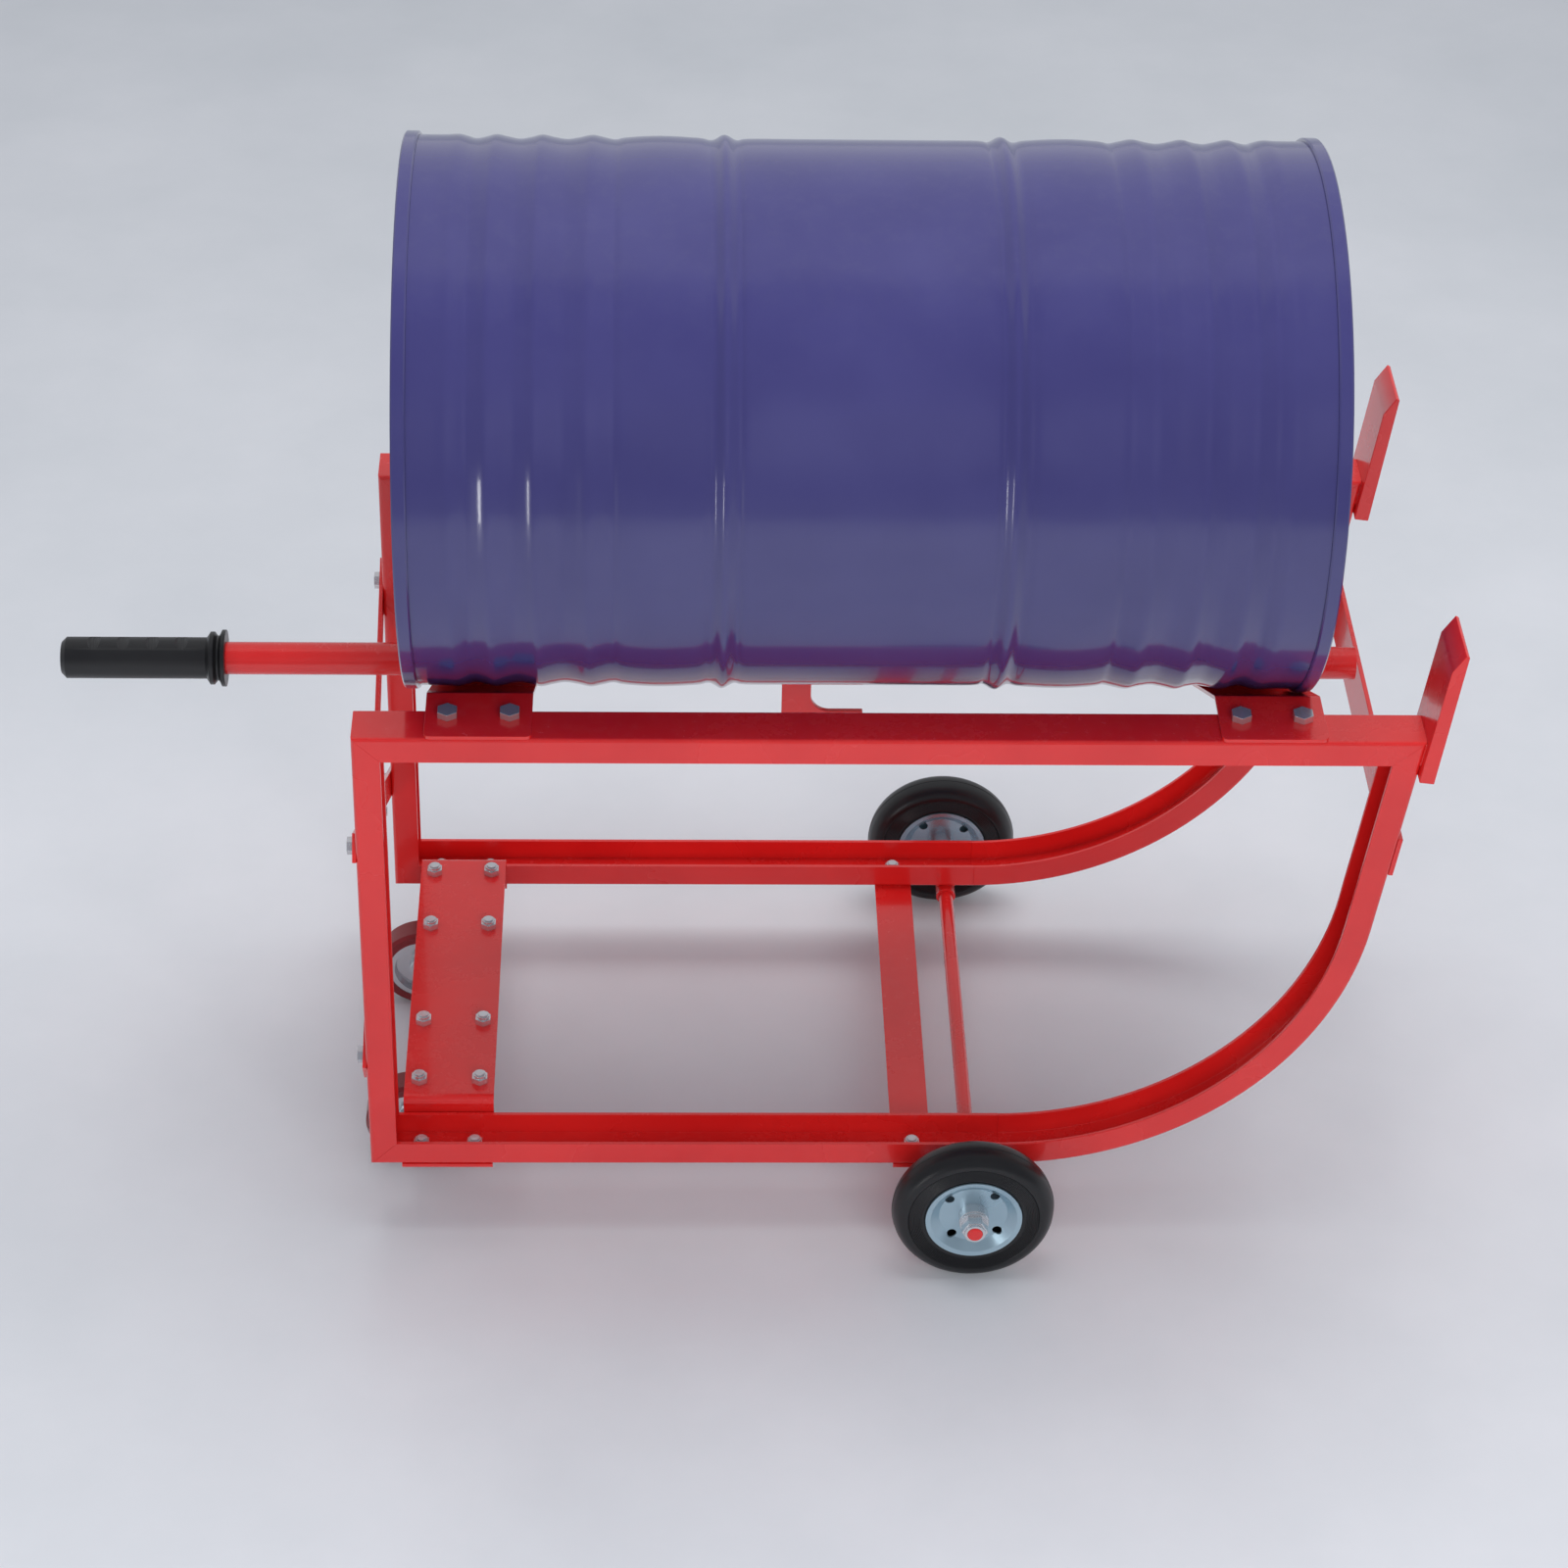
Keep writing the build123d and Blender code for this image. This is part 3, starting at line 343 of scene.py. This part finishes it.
# ---------------------------------------------------------------- main wheel tyres
# Solid black rubber moulded on the rim: fine rings on the side walls and a thin parting
# line round the middle of the tread.
for side in ("near", "far"):
    low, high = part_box("wheel_tyre_" + side)
    middle = [(a + b) / 2 for a, b in zip(low, high)]
    tread, width = (high[2] - low[2]) / 2, (high[1] - low[1]) / 2
    wall = [(width - 0.0030, 0.0476), (width - 0.0030, 0.0516), (width - 0.0012, 0.0535)]
    for ring in range(9):
        foot = 0.0545 + ring * 0.0016
        wall += [(width - 0.0013, foot), (width - 0.0007, foot + 0.0005), (width - 0.0013, foot + 0.0011)]
    shoulder = curved([(width - 0.0002, 0.0695), (width - 0.0004, 0.0735), (width - 0.0028, 0.0778),
                       (width - 0.0070, 0.0812), (0.0080, tread - 0.0014), (0.0026, tread - 0.0004)], 4)
    half = wall + shoulder + [(0.0009, tread - 0.0004), (0.0007, tread)]
    outline = half + [(-x, r) for x, r in reversed(half)]
    finish_piece("wheel_tyre_moulded_" + side, lathe(outline, middle, (0, 1, 0), 144), "main_wheel_" + side,
                 [wheel_rubber], ("wheel_tyre_" + side,), 50)

# ---------------------------------------------------------------- weld beads
# Short hand-laid fillet welds under the powder coat, on the toe plates at the top rails and on
# the sleeves under the bottom rails. Each bead is a row of small ripples.
def weld(name, lines, radius):
    bm = bmesh.new()
    for start, end in lines:
        count = max(2, int((Vector(end) - Vector(start)).length / (radius * 1.1)))
        for i in range(count + 1):
            place = Vector(start).lerp(Vector(end), i / count)
            bmesh.ops.create_uvsphere(bm, u_segments=8, v_segments=5, radius=radius,
                                      matrix=Matrix.Translation(place))
    return finish_piece(name, bm, "cradle", [powder_red], (), 80)


toe_welds, sleeve_welds = [], []
for side in ("near", "far"):
    rail_low, rail_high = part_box("top_rail_" + side)
    lean, run = 0.128, 0.024
    edge, start = rail_high[0] + 0.0002, rail_high[2] - 0.003
    for y in (rail_low[1] + 0.002, rail_high[1] - 0.002):
        toe_welds.append(((edge, y, start), (edge - run * lean, y, start - run)))
    low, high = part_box("bottom_rail_" + side)
    axle_low, axle_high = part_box("axle")
    axle_x = (axle_low[0] + axle_high[0]) / 2
    for x in (axle_x - 0.009, axle_x + 0.009):
        sleeve_welds.append(((x, low[1] + 0.004, low[2] - 0.0008), (x, high[1] - 0.004, low[2] - 0.0008)))
weld("toe_plate_welds", toe_welds, 0.0019)
weld("sleeve_welds", sleeve_welds, 0.0017)
